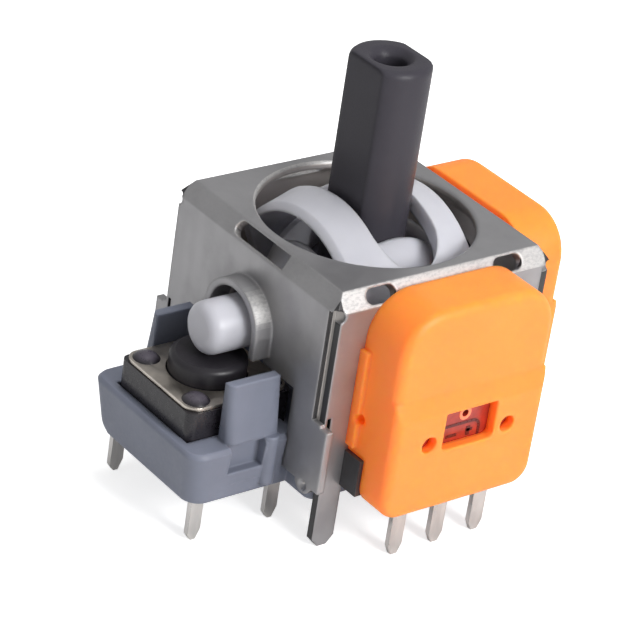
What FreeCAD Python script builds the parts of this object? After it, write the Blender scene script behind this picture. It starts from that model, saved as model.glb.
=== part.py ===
import FreeCAD, Part
import math
import os
from FreeCAD import Vector

# Thumbstick module with two magnetic angle sensors and a push switch, for soldering to a circuit board.
# Millimetres. The origin is on the stick's axis, on the plane that sits on the circuit board. +Z is up.
# Sensor A is on the -Y side, sensor B on the +X side, and the push switch on the -X side.

# Cutting shapes run this far past the part
past_side = 9.0
past_top = 30.0

# Heights above the circuit board
top_height = 11.25
pivot_height = 6.85
stick_top = 19.5
tip_height = -2.45

# Steel frame
frame_width = 13.0
sheet = 0.4
bend_width = 0.6
bend_drop = 0.85
opening_radius = 5.36
rim_chamfer = 0.12
plate_bottom = 1.05
corner_gap = 0.25
short_edge_inset = 0.62
gap_bottom = 4.55
ear_reach = 0.55
ear_drop = 0.15
relief_radius = 0.34
centre_slot_length = 4.0
centre_slot_width = 0.8
clip_slot_length = 1.75
clip_slot_offset = 3.82
leg_width = 1.3
leg_inset = 0.6
leg_point = 0.45
clinch_radius = 0.62
clinch_dimple = 0.3

# Collar that the nub of the lower yoke passes through
nub_radius = 1.32
nub_side_gap = 0.42
nub_top_gap = 0.5
collar_wall = 0.38
collar_reach = 0.95
collar_bottom = pivot_height - 1.0

# Stick
stick_radius = 2.0
stick_flats = 3.0
stick_rim = 0.28
stick_rim_steps = 3
stick_bore_radius = 0.8
stick_bore_depth = 4.0
stick_sink_radius = 1.12
hub_radius = 2.2
hub_side_gap = 0.1
foot_radius = 1.5
foot_reach = 3.3
hinge_pin_radius = 0.5
hinge_pin_gap = 0.03

# Yokes
upper_outer = 5.6
upper_inner = 4.7
upper_half_width = 3.9
upper_crown = 0.6
upper_slot_gap = 0.34
upper_slot_reach = 4.45
upper_end_drop = 1.5
upper_taper_start = 0.4
upper_taper_top = 2.6
yoke_gap = 0.15
lower_slot_half_width = 2.1
lower_cheek = 1.25
lower_drop = 1.6
lower_slot_reach = 3.25
journal_radius = 1.2
journal_flat = 0.8
journal_gap = 0.04
arm_radius = 1.3
arm_end_gap = 0.15
nub_tip_x = 9.2
nub_round = 0.55
nub_steps = 4
nub_root = 0.6
press_pivot_x = 6.0
tongue_half_thickness = 0.7
tongue_radius = 0.9
tongue_gap = 0.06

# Base moulding
base_fit = 0.05
base_thickness = 1.5
base_corner = 0.5
spring_floor = 0.8
boss_height = 0.5
boss_gap = 0.12
guide_wall = 0.7
guide_drop = 0.15
disc_radius = 3.8
disc_gap = 0.08
disc_top_gap = 0.1
disc_thickness = 0.55
disc_hole_radius = 0.9
disc_chamfer = 0.12
spring_radius = 2.3
spring_wire = 0.16
spring_turns = 3
spring_steps = 16
spring_sides = 8

# Push switch
switch_x = -8.4
switch_size = 5.9
switch_gap = 0.03
switch_bottom = 0.95
switch_foot_top = 1.65
nub_clearance = 0.05
plunger_top = pivot_height - nub_radius - nub_clearance
plunger_rise = 0.98
switch_plate_top = plunger_top - plunger_rise
switch_plate = 0.2
switch_plate_inset = 0.08
switch_corner = 0.7
switch_body_corner = 0.42
rivet_inset = 0.875
rivet_pitch = switch_size - 2 * rivet_inset
rivet_radius = 0.68
rivet_height = 0.32
rivet_steps = 3
rivet_shank = 0.45
rivet_root = 0.3
plunger_margin = 1.05
plunger_radius = switch_size / 2 - plunger_margin
plunger_gap = 0.06
plunger_round = 0.3
plunger_steps = 3
plunger_flange = 0.25
plunger_flange_height = 0.35
plunger_sink = 1.2
plunger_bottom = switch_plate_top - plunger_sink
dome_radius = plunger_radius + 0.1
dome_height = 0.45
dome_sheet = 0.12
dome_steps = 3
dome_room = 0.9
well_bottom = plunger_bottom - dome_room
switch_pin_pitch = 4.5
switch_pin_standoff = 0.38
switch_pin_span = switch_size + 2 * switch_pin_standoff
switch_pin_width = 0.75
switch_pin_thick = 0.3
switch_pin_round = 0.35
switch_pin_headroom = 0.1

# Switch tray, part of the base
tray_end_wall = 0.6
tray_side_wall = 1.45
tray_reach = switch_size / 2 + tray_end_wall - switch_x
tray_half_width = switch_size / 2 + tray_side_wall
tray_draft = 0.3
tray_end_draft = 0.42
tray_rim = 2.85
tray_floor = 0.75
tray_corner = 0.9
tray_rim_chamfer = 0.2
tray_low_chamfer = 1.1
tray_low_rise = 1.735
gate_gap = 0.05
switch_gate_width = 2 * tray_half_width - 0.4
gate_rise = 0.85
switch_gate_top = switch_plate_top + gate_rise
wing_rise = 1.4
wing_top = switch_plate_top + wing_rise
wing_inner = switch_size / 2 + 0.3
wing_thick_top = 0.5
wing_thick_bottom = 0.95
wing_knee = 2.25
wing_end_x = 7.0
near_wing_start_x = 1.4 - switch_x
far_wing_start_x = 0.85 - switch_x
wing_round = 0.4
recess_start_x = 1.35 - switch_x
recess_end_x = -0.65 - switch_x
recess_depth = 0.65
recess_floor = 1.4
post_radius = 0.42
post_inset = 0.32
post_bottom = 0.35

# Sensor housings, measured outwards from the frame
cover_half_width = 4.55
cover_depth = 2.8
cover_chin = 0.32
cover_wall = 0.55
cover_side_wall = 0.5
cover_top = 11.12
cover_bottom = 0.35
cover_corner_top = 2.2
cover_corner_bottom = 1.1
cover_edge_round = 0.45
chin_top = 6.7
chin_full = 5.75
window_half_width = 1.58
window_top = 5.7
window_bottom = 3.66
window_round = 0.3
peep_offset = 2.38
peep_height = 4.2
peep_radius = 0.45
side_notch_height = 4.75
side_notch_size = 0.55
cover_flange_width = 0.25
cover_flange_depth = 0.55
cover_flange_top = 8.3
holder_depth = 1.2
holder_foot_top = 2.8
holder_foot_bottom = 0.85
holder_fit = 0.03
peg_radius = 0.5
peg_inset = 1.35
peg_offset = cover_half_width - peg_inset
peg_height = 3.6
peg_gap = 0.03
rotor_radius = 2.1
rotor_gap = 0.06
rotor_inside = 0.3
rotor_reach = 1.15
rotor_socket = 0.5
magnet_radius = 1.5
magnet_thickness = 0.55
board_thickness = 0.4
board_side_gap = 0.45
board_half_width = cover_half_width - cover_side_wall - board_side_gap
board_top = 9.2
board_bottom = 1.6
chip_width = 2.9
chip_height = 1.6
chip_depth = 0.75
via_radius = 0.2
via_height = 5.05
terminal_edge_gap = 1.1
terminal_pitch = board_half_width - terminal_edge_gap
terminal_width = 0.85
terminal_thick = 0.28
terminal_top = 2.6
terminal_point = 0.5

half_frame = frame_width / 2
inner_half = half_frame - sheet
axis_z = Vector(0, 0, 1)
axis_y = Vector(0, 1, 0)
axis_x = Vector(1, 0, 0)
pivot = Vector(0, 0, pivot_height)


def box(x0, x1, y0, y1, z0, z1):
    return Part.makeBox(x1 - x0, y1 - y0, z1 - z0, Vector(x0, y0, z0))


def cylinder(radius, start, direction, length):
    return Part.makeCylinder(radius, length, start, direction)


def prism(points, direction):
    wire = Part.makePolygon(points + [points[0]])
    return Part.Face(wire).extrude(direction)


def turned(shape, degrees):
    copy = shape.copy()
    copy.rotate(Vector(0, 0, 0), axis_z, degrees)
    return copy


def moved(shape, x, y, z):
    copy = shape.copy()
    copy.translate(Vector(x, y, z))
    return copy


def edges_where(shape, test):
    return [edge for edge in shape.Edges if test(edge)]


def upright(edge):
    if len(edge.Vertexes) != 2:
        return False
    a = edge.Vertexes[0].Point
    b = edge.Vertexes[1].Point
    return abs(a.x - b.x) < 1e-6 and abs(a.y - b.y) < 1e-6 and abs(a.z - b.z) > 1e-6


def rounded(shape, radius, test):
    return shape.makeFillet(radius, edges_where(shape, test))


def turned_pin(radius, length, rounding, steps):
    """Upright pin on the plane z = 0. Its upper edge is rounded in a few short cones."""
    points = [Vector(0, 0, 0), Vector(radius, 0, 0)]
    for step in range(steps + 1):
        angle = math.pi / 2 * step / steps
        across = radius - rounding + rounding * math.cos(angle)
        points.append(Vector(across, 0, length - rounding + rounding * math.sin(angle)))
    points.append(Vector(0, 0, length))
    return Part.Face(Part.makePolygon(points + points[0:1])).revolve(Vector(0, 0, 0), axis_z, 360)


def rounded_rectangle(x0, x1, z0, z1, top_radius, bottom_radius, y):
    """Wire in the XZ plane with its own radius for the upper and the lower corners."""
    slant = math.sqrt(0.5)
    corners = [
        (x0, z0, 1, 1, bottom_radius),
        (x1, z0, -1, 1, bottom_radius),
        (x1, z1, -1, -1, top_radius),
        (x0, z1, 1, -1, top_radius),
    ]
    arcs = []
    for x, z, sx, sz, r in corners:
        centre_x = x + sx * r
        centre_z = z + sz * r
        on_x = Vector(x, y, centre_z)
        on_z = Vector(centre_x, y, z)
        middle = Vector(centre_x - sx * r * slant, y, centre_z - sz * r * slant)
        ends = (on_x, on_z) if sx * sz > 0 else (on_z, on_x)
        arcs.append((ends[0], middle, ends[1]))
    edges = []
    for index, (start, middle, end) in enumerate(arcs):
        edges.append(Part.Arc(start, middle, end).toShape())
        following = arcs[(index + 1) % 4][0]
        edges.append(Part.LineSegment(end, following).toShape())
    return Part.Wire(edges)


def bent_box(half, height, width, drop):
    """Box with a bend of the given width and drop along its four upper edges, open downwards."""
    profile = [
        (-half, 0),
        (-half, height - drop),
        (-half + width, height),
        (half - width, height),
        (half, height - drop),
        (half, 0),
    ]
    along_y = prism([Vector(x, -half, z) for x, z in profile], Vector(0, 2 * half, 0))
    along_x = prism([Vector(-half, y, z) for y, z in profile], Vector(2 * half, 0, 0))
    return along_y.common(along_x)


def frame_leg():
    """Leg at the -X end of the -Y plate, in the plate's plane."""
    left = -half_frame + leg_inset
    right = left + leg_width
    outline = [
        (left, plate_bottom + sheet),
        (left, tip_height + leg_point),
        (left + leg_width * 0.3, tip_height),
        (right - leg_width * 0.3, tip_height),
        (right, tip_height + leg_point),
        (right, plate_bottom + sheet),
    ]
    leg = prism([Vector(x, -half_frame, z) for x, z in outline], Vector(0, sheet, 0))
    return leg


def corner_cuts():
    """What is cut away at the corner between the -X and the -Y plate."""
    outside = half_frame + 1
    gap_top = top_height - bend_drop
    gap = box(
        -outside, -half_frame + corner_gap,
        -outside, -half_frame + short_edge_inset,
        gap_bottom, gap_top
    )
    lower = box(
        -half_frame + sheet, -half_frame + leg_inset,
        -outside, -half_frame + sheet,
        0, gap_bottom + corner_gap
    )
    start = Vector(-outside, -outside, gap_top - relief_radius * 0.5)
    relief = cylinder(relief_radius, start, Vector(1, 1, 0), 1.9)
    return [gap, lower, relief]


def bend_slot(length, width, offset, square_end=False):
    """Slot through the bend of the -X plate, square to the bend. Its -Y end can be cut square."""
    half_run = length / 2 - width / 2
    slope = Vector(-bend_drop, 0, bend_width)
    slope.normalize()
    middle = Vector(-half_frame + bend_width / 2, offset, top_height - bend_drop / 2)
    start = middle - slope * 1.2
    body = cylinder(width / 2, start + Vector(0, half_run, 0), slope, 2.4)
    body = body.fuse(cylinder(width / 2, start - Vector(0, half_run, 0), slope, 2.4))
    across = slope.cross(axis_y)
    low_run = half_run + width / 2 if square_end else half_run
    corner = start - across * (width / 2) - Vector(0, low_run, 0)
    face_points = [
        corner,
        corner + across * width,
        corner + across * width + Vector(0, low_run + half_run, 0),
        corner + Vector(0, low_run + half_run, 0),
    ]
    return body.fuse(prism(face_points, slope * 2.4))


def nub_arch(half_width, depth):
    """Arch shaped prism about the nub, from the -X plate outwards, open at the bottom."""
    arch_centre = pivot_height + nub_top_gap - nub_side_gap
    x0 = -half_frame - depth
    round_top = cylinder(half_width, Vector(x0, 0, arch_centre), axis_x, depth + sheet)
    round_top = round_top.cut(box(x0 - 1, 0, -9, 9, -9, arch_centre))
    legs = box(x0, -half_frame + sheet, -half_width, half_width, collar_bottom, arch_centre)
    return round_top.fuse(legs)


def frame():
    shell = bent_box(half_frame, top_height, bend_width, bend_drop)
    inner_top = top_height - sheet
    shell = shell.cut(bent_box(inner_half, inner_top, bend_width - sheet * 0.2, bend_drop - sheet * 0.3))
    shell = shell.cut(box(-half_frame, half_frame, -half_frame, half_frame, 0, plate_bottom))
    for quarter in range(4):
        shell = shell.fuse(turned(frame_leg(), 90 * quarter))
    opening = cylinder(opening_radius, Vector(0, 0, inner_top - 1), axis_z, 3)
    shell = shell.cut(opening)
    for quarter in range(4):
        for cut in corner_cuts():
            shell = shell.cut(turned(cut, 90 * quarter))
    slot = bend_slot(centre_slot_length, centre_slot_width, 0, True)
    shell = shell.cut(slot).cut(turned(slot, -90))
    for side in (-1, 1):
        clip = bend_slot(clip_slot_length, centre_slot_width, side * clip_slot_offset)
        shell = shell.cut(turned(clip, 90)).cut(turned(clip, 180))
    rotor_hole = cylinder(rotor_radius + rotor_gap * 2, Vector(0, -half_frame - 1, pivot_height), axis_y, 2)
    shell = shell.cut(rotor_hole).cut(turned(rotor_hole, 90))
    for side in (-1, 1):
        peg_hole = cylinder(
            peg_radius + peg_gap, Vector(side * peg_offset, -half_frame - 1, peg_height), axis_y, 2
        )
        shell = shell.cut(peg_hole).cut(turned(peg_hole, 90))
    journal_hole = cylinder(journal_radius + journal_gap, Vector(0, inner_half - 1, pivot_height), axis_y, 3)
    shell = shell.cut(journal_hole)
    gate_half = switch_gate_width / 2
    gate = box(-half_frame - 1, -inner_half + 0.5, -gate_half, gate_half, 0, switch_gate_top)
    shell = shell.cut(gate)
    hole_half = nub_radius + nub_side_gap
    collar = nub_arch(hole_half + collar_wall, collar_reach)
    shell = shell.fuse(collar.cut(box(-inner_half, 0, -9, 9, 0, 20)))
    shell = shell.cut(nub_arch(hole_half, collar_reach + 1))
    shell = shell.cut(box(-half_frame, -half_frame + sheet, -hole_half, hole_half, 0, collar_bottom))
    for x in (-half_frame, inner_half):
        for y in (-half_frame - ear_reach, half_frame):
            shell = shell.fuse(box(x, x + sheet, y, y + ear_reach, plate_bottom, gap_bottom - ear_drop))
    tab_centre = Vector(-half_frame, -half_frame + clinch_radius, plate_bottom + 0.1)
    tab = cylinder(clinch_radius, tab_centre, axis_x, sheet)
    dimple_start = tab_centre - Vector(0, 0, clinch_radius * 0.35)
    dimple = Part.makeCone(clinch_dimple, 0, sheet * 0.6, dimple_start, axis_x)
    shell = shell.fuse(tab).cut(dimple)
    shell = shell.removeSplitter()
    rim = edges_where(shell, lambda e: e.Curve.TypeId == "Part::GeomCircle"
                      and abs(e.Curve.Radius - opening_radius) < 1e-6
                      and abs(e.BoundBox.ZMax - top_height) < 1e-6)
    return shell.makeChamfer(rim_chamfer, rim)


def arch_body():
    """Solid arch of the upper yoke, turned about the X axis through the pivot."""
    half = upper_half_width
    edge_outer = upper_outer - upper_crown
    crown_start = half * 0.45
    points = [
        Vector(-half, 0, upper_inner),
        Vector(half, 0, upper_inner),
        Vector(half, 0, edge_outer - 0.25),
        Vector(half - 0.3, 0, edge_outer + 0.12),
        Vector(crown_start, 0, upper_outer),
        Vector(-crown_start, 0, upper_outer),
        Vector(-half + 0.3, 0, edge_outer + 0.12),
        Vector(-half, 0, edge_outer - 0.25),
    ]
    face = Part.Face(Part.makePolygon(points + [points[0]]))
    ring = face.revolve(Vector(0, 0, 0), axis_x, 360)
    return moved(ring, 0, 0, pivot_height)


def upper_yoke():
    arch = arch_body()
    below = pivot_height - upper_end_drop
    arch = arch.cut(box(-9, 9, -9, 9, -9, below))
    end_width = journal_radius + 1.3
    for side in (-1, 1):
        taper = [
            Vector(side * end_width, -9, below - 1),
            Vector(side * end_width, -9, pivot_height + upper_taper_start),
            Vector(side * (upper_half_width + 0.01), -9, pivot_height + upper_taper_top),
            Vector(side * (upper_half_width + 3), -9, pivot_height + upper_taper_top),
            Vector(side * (upper_half_width + 3), -9, below - 1),
        ]
        arch = arch.cut(prism(taper, Vector(0, 18, 0)))
    slot_half = stick_flats / 2 + upper_slot_gap
    slot_run = upper_slot_reach - slot_half
    slot = box(-slot_half, slot_half, -slot_run, slot_run, pivot_height, stick_top)
    for side in (-1, 1):
        start = Vector(0, side * slot_run, pivot_height)
        slot = slot.fuse(cylinder(slot_half, start, axis_z, 9))
    arch = arch.cut(slot)
    near_end = -half_frame - rotor_socket + rotor_inside
    root = upper_outer - 0.5
    journal = cylinder(journal_radius, Vector(0, near_end, pivot_height), axis_y, -near_end - root)
    flat = box(-9, 9, near_end, -inner_half + 0.1, pivot_height + journal_flat, pivot_height + 9)
    journal = journal.cut(flat)
    far = cylinder(journal_radius, Vector(0, root, pivot_height), axis_y, half_frame - root)
    return arch.fuse(journal).fuse(far).removeSplitter()


def lower_yoke():
    outer = upper_inner - yoke_gap
    half_y = lower_slot_half_width + lower_cheek
    dome = Part.makeSphere(outer, pivot)
    block = box(-past_side, past_side, -half_y, half_y, pivot_height - lower_drop, past_top)
    body = dome.common(block)
    stick_way = box(
        -lower_slot_reach, lower_slot_reach, -lower_slot_half_width, lower_slot_half_width, 0, past_top
    )
    body = body.cut(stick_way)
    nub = nub_shape(outer)
    arm_start = Vector(lower_slot_reach + 0.3, 0, pivot_height)
    arm_end = half_frame - rotor_inside - arm_end_gap
    arm = cylinder(arm_radius, arm_start, axis_x, arm_end - arm_start.x)
    tongue_start = Vector(press_pivot_x, -tongue_half_thickness, pivot_height)
    tongue = cylinder(tongue_radius, tongue_start, axis_y, 2 * tongue_half_thickness)
    neck = box(
        arm_start.x + 0.5, press_pivot_x, -tongue_half_thickness, tongue_half_thickness,
        pivot_height - tongue_radius, pivot_height + tongue_radius
    )
    body = body.fuse(nub).fuse(arm).fuse(tongue).fuse(neck)
    pin_hole = cylinder(hinge_pin_radius, Vector(0, -9, pivot_height), axis_y, 18)
    return body.cut(pin_hole).removeSplitter()


def nub_shape(outer):
    """Round peg through the collar, which rests on the push switch."""
    length = nub_tip_x - outer + nub_root
    peg = turned_pin(nub_radius, length, nub_round, nub_steps)
    peg.rotate(Vector(0, 0, 0), axis_y, -90)
    return moved(peg, length - nub_tip_x, 0, pivot_height)


def stick():
    shaft = moved(
        turned_pin(stick_radius, stick_top - pivot_height, stick_rim, stick_rim_steps), 0, 0, pivot_height
    )
    half_flat = stick_flats / 2
    shaft = shaft.common(box(-half_flat, half_flat, -9, 9, 0, stick_top + 1))
    hub_half = lower_slot_half_width - hub_side_gap
    hub = cylinder(hub_radius, Vector(0, -hub_half, pivot_height), axis_y, 2 * hub_half)
    foot = Part.makeSphere(foot_reach, pivot)
    foot_start = Vector(0, 0, pivot_height - foot_reach - 1)
    foot = foot.common(cylinder(foot_radius, foot_start, axis_z, foot_reach + 1))
    body = shaft.fuse(hub).fuse(foot)
    bore_start = Vector(0, 0, stick_top - stick_bore_depth)
    body = body.cut(cylinder(stick_bore_radius, bore_start, axis_z, stick_bore_depth + 1))
    sink_depth = stick_sink_radius - stick_bore_radius
    sink = Part.makeCone(
        stick_bore_radius, stick_sink_radius, sink_depth, Vector(0, 0, stick_top - sink_depth), axis_z
    )
    body = body.cut(sink)
    pin_hole = cylinder(hinge_pin_radius + hinge_pin_gap, Vector(0, -9, pivot_height), axis_y, 18)
    return body.cut(pin_hole).removeSplitter()


def hinge_pin():
    half_length = lower_slot_half_width + lower_cheek - 0.15
    pin = cylinder(hinge_pin_radius, Vector(0, -half_length, pivot_height), axis_y, 2 * half_length)
    return pin.makeChamfer(0.08, pin.Edges[0:1] + pin.Edges[2:3])


def disc_top():
    return pivot_height - foot_reach - disc_top_gap


def centering_disc():
    bottom = disc_top() - disc_thickness
    disc = cylinder(disc_radius, Vector(0, 0, bottom), axis_z, disc_thickness)
    disc = disc.makeChamfer(disc_chamfer, edges_where(disc, lambda e: e.Curve.TypeId == "Part::GeomCircle"))
    return disc.cut(cylinder(disc_hole_radius, Vector(0, 0, bottom - 1), axis_z, 3))


def spring():
    """Coil spring, drawn through sections set round the helix."""
    bottom = spring_floor + spring_wire
    top = disc_top() - disc_thickness - spring_wire
    steps = spring_turns * spring_steps
    sections = []
    for step in range(steps + 1):
        angle = 2 * math.pi * step / spring_steps
        height = bottom + (top - bottom) * step / steps
        section = []
        for side in range(spring_sides):
            around = 2 * math.pi * (side + 0.5) / spring_sides
            radius = spring_radius + spring_wire * math.cos(around)
            rise = spring_wire * math.sin(around)
            section.append(Vector(radius * math.cos(angle), radius * math.sin(angle), height + rise))
        sections.append(Part.makePolygon(section + section[0:1]))
    return Part.makeLoft(sections, True, True)


def wing(side, start_x):
    """Upright wing that holds the switch, slanted on its outer face."""
    foot = tray_floor
    outline = [
        (wing_inner, foot),
        (wing_inner, wing_top),
        (wing_inner + wing_thick_top, wing_top),
        (wing_inner + wing_thick_bottom, wing_knee),
        (wing_inner + wing_thick_bottom, foot),
    ]
    points = [Vector(-start_x, side * y, z) for y, z in outline]
    body = prism(points, Vector(start_x - wing_end_x, 0, 0))

    def outer_corner(edge):
        box_of = edge.BoundBox
        tall = box_of.ZLength > 1.0 and box_of.XLength < 1e-6
        outer = max(abs(box_of.YMin), abs(box_of.YMax)) > wing_inner + 0.2
        return tall and outer and box_of.XMax < -start_x + 1e-6

    return rounded(body, wing_round, outer_corner)


def tray():
    """Open tray on the -X side that carries the push switch."""
    top = [
        Vector(-tray_reach, -tray_half_width, tray_rim),
        Vector(-tray_reach, tray_half_width, tray_rim),
        Vector(-half_frame + 0.5, tray_half_width, tray_rim),
        Vector(-half_frame + 0.5, -tray_half_width, tray_rim),
    ]
    low_reach = tray_reach - tray_end_draft
    low_half = tray_half_width - tray_draft
    bottom = [
        Vector(-low_reach, -low_half, 0),
        Vector(-low_reach, low_half, 0),
        Vector(-half_frame + 0.5, low_half, 0),
        Vector(-half_frame + 0.5, -low_half, 0),
    ]
    wires = [Part.makePolygon(points + [points[0]]) for points in (bottom, top)]
    body = Part.makeLoft(wires, True, True)

    def outer_upright(edge):
        box_of = edge.BoundBox
        return box_of.ZLength > 1.0 and box_of.XMax < -half_frame - 2

    def outer_rim(edge):
        return abs(edge.BoundBox.ZMin - tray_rim) < 1e-6 and edge.BoundBox.XMin < -half_frame

    body = rounded(body, tray_corner, outer_upright)
    body = body.makeChamfer(tray_rim_chamfer, edges_where(body, outer_rim))
    wedge_start = low_half - tray_low_chamfer
    wedge = [
        Vector(-tray_reach - 1, wedge_start, -0.001),
        Vector(-tray_reach - 1, tray_half_width + 1, tray_low_rise),
        Vector(-tray_reach - 1, tray_half_width + 1, -1),
        Vector(-tray_reach - 1, wedge_start, -1),
    ]
    body = body.cut(prism(wedge, Vector(tray_reach - half_frame, 0, 0)))
    narrow = switch_gate_width / 2 - gate_gap
    for side in (-1, 1):
        inside_frame = [side * narrow, side * (tray_half_width + 1)]
        body = body.cut(box(-half_frame - gate_gap, 0, min(inside_frame), max(inside_frame), -1, 9))
    body = body.fuse(wing(-1, near_wing_start_x)).fuse(wing(1, far_wing_start_x))
    post_start = Vector(-recess_end_x + post_radius, -tray_half_width + post_inset, post_bottom)
    post = cylinder(post_radius, post_start, axis_z, tray_rim - post_bottom + 0.1)
    recess = box(
        -recess_start_x, -recess_end_x,
        -tray_half_width - tray_side_wall, -tray_half_width + recess_depth,
        recess_floor, tray_rim
    )
    return body.cut(recess).fuse(post)


def base():
    half = inner_half - base_fit
    floor = box(-half, half, -half, half, 0, base_thickness)
    floor = rounded(floor, base_corner, upright)
    guide_inner = disc_radius + disc_gap
    guide_outer = guide_inner + guide_wall
    guide = cylinder(guide_outer, Vector(0, 0, 0), axis_z, disc_top() - guide_drop)
    body = floor.fuse(guide)
    body = body.fuse(tray())
    body = body.cut(cylinder(guide_inner, Vector(0, 0, spring_floor), axis_z, past_side))
    boss = cylinder(
        spring_radius - spring_wire - boss_gap, Vector(0, 0, 0), axis_z, spring_floor + boss_height
    )
    body = body.fuse(boss)
    pocket_half = switch_size / 2 + switch_gap
    body = body.cut(box(
        switch_x - pocket_half, switch_x + pocket_half, -pocket_half, pocket_half, switch_bottom, past_side
    ))
    for x in (-switch_pin_pitch / 2, switch_pin_pitch / 2):
        for side in (-1, 1):
            body = body.cut(switch_pin_slot(switch_x + x, side))
    return body.removeSplitter()


def switch_pin_slot(x, side):
    """Way for one switch terminal down through the base, open towards the switch pocket."""
    half_width = switch_pin_width / 2 + switch_gap
    reach = [side * (switch_pin_span / 2 + switch_pin_thick / 2 + switch_gap), side * (switch_size / 2)]
    top = switch_foot_top + switch_pin_headroom
    return box(x - half_width, x + half_width, min(reach), max(reach), -1, top)


def switch_body():
    half = switch_size / 2
    top = switch_plate_top - switch_plate
    body = box(switch_x - half, switch_x + half, -half, half, switch_bottom, top)
    body = rounded(body, switch_body_corner, upright)
    well_radius = plunger_radius + plunger_flange + plunger_gap
    body = body.cut(cylinder(well_radius, Vector(switch_x, 0, well_bottom), axis_z, 9))
    for x in (-rivet_pitch / 2, rivet_pitch / 2):
        for y in (-rivet_pitch / 2, rivet_pitch / 2):
            shank_start = Vector(switch_x + x, y, top - rivet_root)
            shank = cylinder(rivet_shank, shank_start, axis_z, switch_plate + rivet_root)
            body = body.fuse(shank).fuse(moved(rivet_head(), switch_x + x, y, switch_plate_top))
    return body.removeSplitter()


def cap_profile(ball, half_angle, steps):
    """Points of an arc about the Z axis, from its rim to its crown, with the crown at z = 0."""
    points = []
    for step in range(steps + 1):
        angle = half_angle * (1 - step / steps)
        points.append(Vector(ball * math.sin(angle), 0, ball * math.cos(angle) - ball))
    return points


def rivet_head():
    """Domed head of a heat staked post, standing on the plane z = 0."""
    ball = (rivet_radius ** 2 + rivet_height ** 2) / (2 * rivet_height)
    arc = cap_profile(ball, math.asin(rivet_radius / ball), rivet_steps)
    points = [point + Vector(0, 0, rivet_height) for point in arc] + [Vector(0, 0, 0)]
    return Part.Face(Part.makePolygon(points + points[0:1])).revolve(Vector(0, 0, 0), axis_z, 360)


def switch_cover():
    half = switch_size / 2 - switch_plate_inset
    bottom = switch_plate_top - switch_plate
    plate = box(switch_x - half, switch_x + half, -half, half, bottom, switch_plate_top)
    plate = rounded(plate, switch_corner, upright)
    hole = cylinder(plunger_radius + plunger_gap, Vector(switch_x, 0, bottom - 1), axis_z, 3)
    plate = plate.cut(hole)
    for x in (-rivet_pitch / 2, rivet_pitch / 2):
        for y in (-rivet_pitch / 2, rivet_pitch / 2):
            plate = plate.cut(cylinder(rivet_shank, Vector(switch_x + x, y, bottom - 1), axis_z, 3))
    return plate


def switch_plunger():
    stem = turned_pin(plunger_radius, plunger_top - plunger_bottom, plunger_round, plunger_steps)
    flange = cylinder(plunger_radius + plunger_flange, Vector(0, 0, 0), axis_z, plunger_flange_height)
    return moved(stem.fuse(flange).removeSplitter(), switch_x, 0, plunger_bottom)


def switch_dome():
    """Snap dome under the plunger, a thin crowned disc."""
    ball = (dome_radius ** 2 + dome_height ** 2) / (2 * dome_height)
    half_angle = math.asin(dome_radius / ball)
    upper = cap_profile(ball, half_angle, dome_steps)
    lower = [point - Vector(0, 0, dome_sheet) for point in reversed(upper)]
    section = upper + lower
    dome = Part.Face(Part.makePolygon(section + section[0:1])).revolve(Vector(0, 0, 0), axis_z, 360)
    return moved(dome, switch_x, 0, well_bottom + dome_sheet + dome_height)


def switch_pins():
    pins = []
    for x in (-switch_pin_pitch / 2, switch_pin_pitch / 2):
        for y in (-1, 1):
            pins.append(moved(switch_pin(y), switch_x + x, y * switch_pin_span / 2, 0))
    return Part.makeCompound(pins)


def switch_pin(side):
    """Flat terminal: an upright blade with a rounded tip and a foot turned in to the body."""
    half = switch_pin_width / 2
    thick = switch_pin_thick / 2
    top = switch_foot_top
    points = [
        (-half, top),
        (-half, tip_height + switch_pin_round),
        (-half * 0.35, tip_height),
        (half * 0.35, tip_height),
        (half, tip_height + switch_pin_round * 1.6),
        (half, top),
    ]
    blade = prism([Vector(x, -thick, z) for x, z in points], Vector(0, 2 * thick, 0))
    inner = -side * (switch_pin_span / 2 - switch_size / 2)
    turned_in = [inner, side * thick]
    foot = box(-half, half, min(turned_in), max(turned_in), top - switch_pin_thick, top)
    return blade.fuse(foot).removeSplitter()


def out(distance):
    """Y of a point at this distance outwards from the frame's -Y face."""
    return -half_frame - distance


def cover_outline(inset, distance):
    return rounded_rectangle(
        -cover_half_width + inset, cover_half_width - inset, cover_bottom + inset, cover_top - inset,
        cover_corner_top - inset * 0.6, cover_corner_bottom - inset * 0.6, out(distance)
    )


def rounded_block(depth):
    """Outline of the cover drawn out to a depth, with its front edge rounded."""
    block = Part.Face(cover_outline(0, 0)).extrude(Vector(0, -depth, 0))
    front = edges_where(block, lambda e: abs(e.BoundBox.YMax - out(depth)) < 1e-6)
    return block.makeFillet(cover_edge_round, front)


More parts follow.
